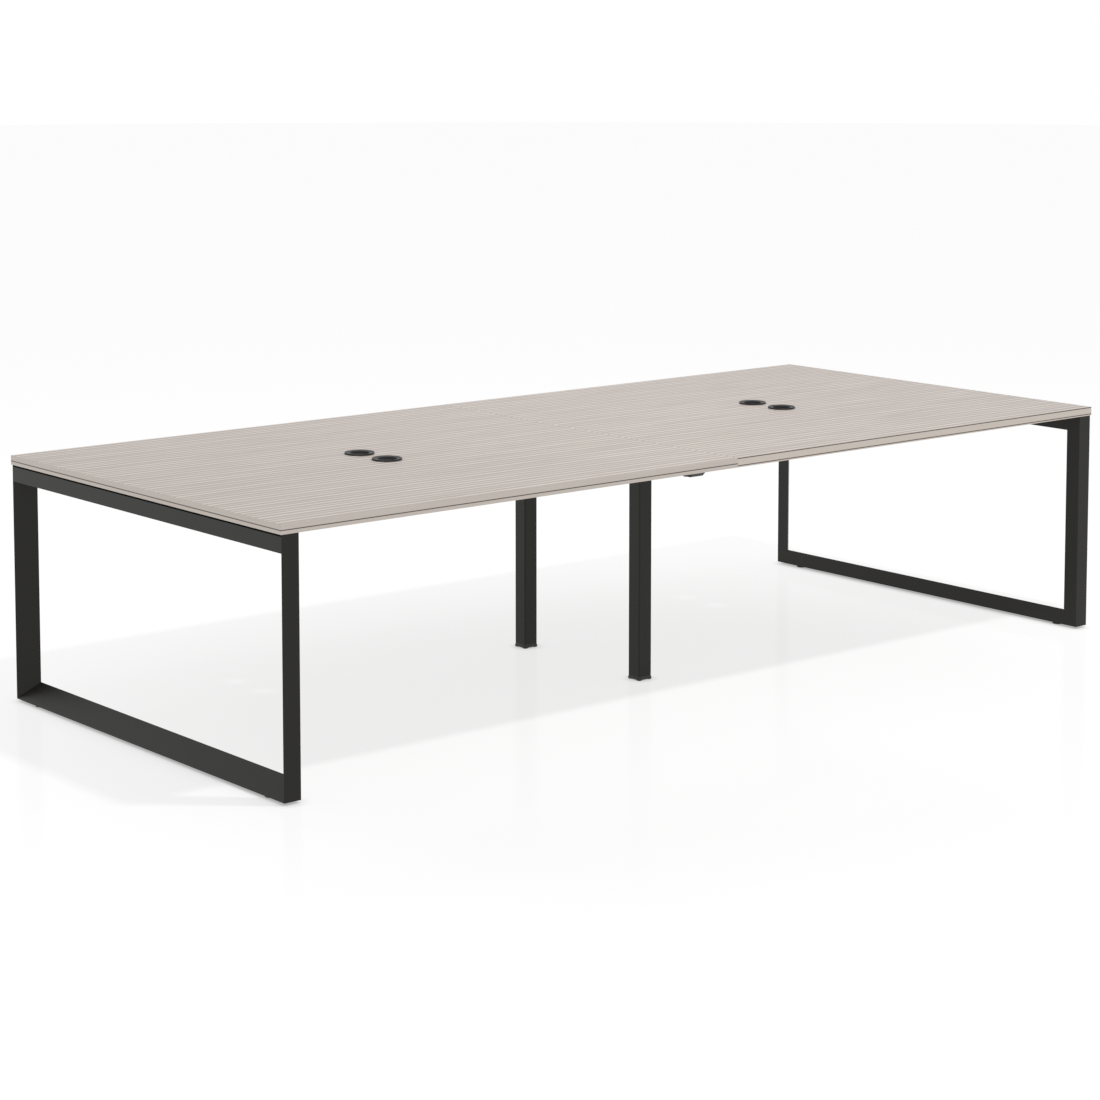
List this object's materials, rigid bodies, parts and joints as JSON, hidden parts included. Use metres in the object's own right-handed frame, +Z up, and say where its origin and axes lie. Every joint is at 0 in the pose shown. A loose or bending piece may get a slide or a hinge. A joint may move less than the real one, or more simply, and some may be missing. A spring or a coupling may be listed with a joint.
{
  "type": "bench desk",
  "caption": "Long bench desk: pale wood-grain tops on dark loop frames of wedge section and square centre posts, with turning cable grommets and levelling feet.",
  "frame": {"origin": "on the floor under the middle of the desk", "axes": "+X along the desk, front edge facing -Y, +Z up"},
  "size_m": [3.2, 1.4, 0.7405],
  "materials": {
    "laminate": "matt wood-grain laminate on board",
    "edging": "matt wood-grain edging",
    "powder_coat": "fine-textured matt powder coat on steel",
    "black_plastic": "satin moulded plastic",
    "rubber": "dull black",
    "zinc": "zinc-plated steel"
  },
  "bodies": {
    "desk": {"left_top_panel": "laminate", "right_top_panel": "laminate", "left_front_edging": "edging", "left_back_edging": "edging", "left_end_edging": "edging", "left_seam_edging": "edging", "right_front_edging": "edging", "right_back_edging": "edging", "right_end_edging": "edging", "right_seam_edging": "edging", "left_front_leg": "powder_coat", "left_back_leg": "powder_coat", "left_floor_rail": "powder_coat", "left_top_rail": "powder_coat", "right_front_leg": "powder_coat", "right_back_leg": "powder_coat", "right_floor_rail": "powder_coat", "right_top_rail": "powder_coat", "front_post": "powder_coat", "back_post": "powder_coat", "cross_beam": "powder_coat", "left_front_beam": "powder_coat", "left_back_beam": "powder_coat", "right_front_beam": "powder_coat", "right_back_beam": "powder_coat", "left_front_beam_outer_plate": "powder_coat", "left_front_beam_inner_plate": "powder_coat", "left_back_beam_outer_plate": "powder_coat", "left_back_beam_inner_plate": "powder_coat", "right_front_beam_outer_plate": "powder_coat", "right_front_beam_inner_plate": "powder_coat", "right_back_beam_outer_plate": "powder_coat", "right_back_beam_inner_plate": "powder_coat", "left_rail_spacer": "rubber", "right_rail_spacer": "rubber", "left_seam_spacer": "rubber", "right_seam_spacer": "rubber", "front_joint_plate": "zinc", "back_joint_plate": "zinc", "left_front_foot_nut": "zinc", "left_back_foot_nut": "zinc", "right_front_foot_nut": "zinc", "right_back_foot_nut": "zinc", "front_post_insert": "black_plastic", "back_post_insert": "black_plastic", "left_front_grommet_sleeve": "black_plastic", "left_back_grommet_sleeve": "black_plastic", "right_front_grommet_sleeve": "black_plastic", "right_back_grommet_sleeve": "black_plastic"},
    "left_front_cap": {"left_front_grommet_cap": "black_plastic"},
    "left_back_cap": {"left_back_grommet_cap": "black_plastic"},
    "right_front_cap": {"right_front_grommet_cap": "black_plastic"},
    "right_back_cap": {"right_back_grommet_cap": "black_plastic"},
    "left_front_leveller": {"left_front_foot": "black_plastic"},
    "left_back_leveller": {"left_back_foot": "black_plastic"},
    "right_front_leveller": {"right_front_foot": "black_plastic"},
    "right_back_leveller": {"right_back_foot": "black_plastic"},
    "front_post_leveller": {"front_post_foot": "black_plastic"},
    "back_post_leveller": {"back_post_foot": "black_plastic"}
  },
  "joints": [
    {"name": "left_front_cap_turn", "type": "hinge", "parent": "desk", "child": "left_front_cap", "pos_m": [-0.80007, -0.068, 0.735], "axis": [0, 0, 1], "continuous": true},
    {"name": "left_back_cap_turn", "type": "hinge", "parent": "desk", "child": "left_back_cap", "pos_m": [-0.80007, 0.068, 0.735], "axis": [0, 0, 1], "continuous": true},
    {"name": "right_front_cap_turn", "type": "hinge", "parent": "desk", "child": "right_front_cap", "pos_m": [0.80007, -0.068, 0.735], "axis": [0, 0, 1], "continuous": true},
    {"name": "right_back_cap_turn", "type": "hinge", "parent": "desk", "child": "right_back_cap", "pos_m": [0.80007, 0.068, 0.735], "axis": [0, 0, 1], "continuous": true},
    {"name": "left_front_foot_level", "type": "slide", "parent": "desk", "child": "left_front_leveller", "axis": [0, 0, -1], "range_m": [0, 0.008]},
    {"name": "left_back_foot_level", "type": "slide", "parent": "desk", "child": "left_back_leveller", "axis": [0, 0, -1], "range_m": [0, 0.008]},
    {"name": "right_front_foot_level", "type": "slide", "parent": "desk", "child": "right_front_leveller", "axis": [0, 0, -1], "range_m": [0, 0.008]},
    {"name": "right_back_foot_level", "type": "slide", "parent": "desk", "child": "right_back_leveller", "axis": [0, 0, -1], "range_m": [0, 0.008]},
    {"name": "front_post_foot_level", "type": "slide", "parent": "desk", "child": "front_post_leveller", "axis": [0, 0, -1], "range_m": [0, 0.008]},
    {"name": "back_post_foot_level", "type": "slide", "parent": "desk", "child": "back_post_leveller", "axis": [0, 0, -1], "range_m": [0, 0.008]}
  ]
}
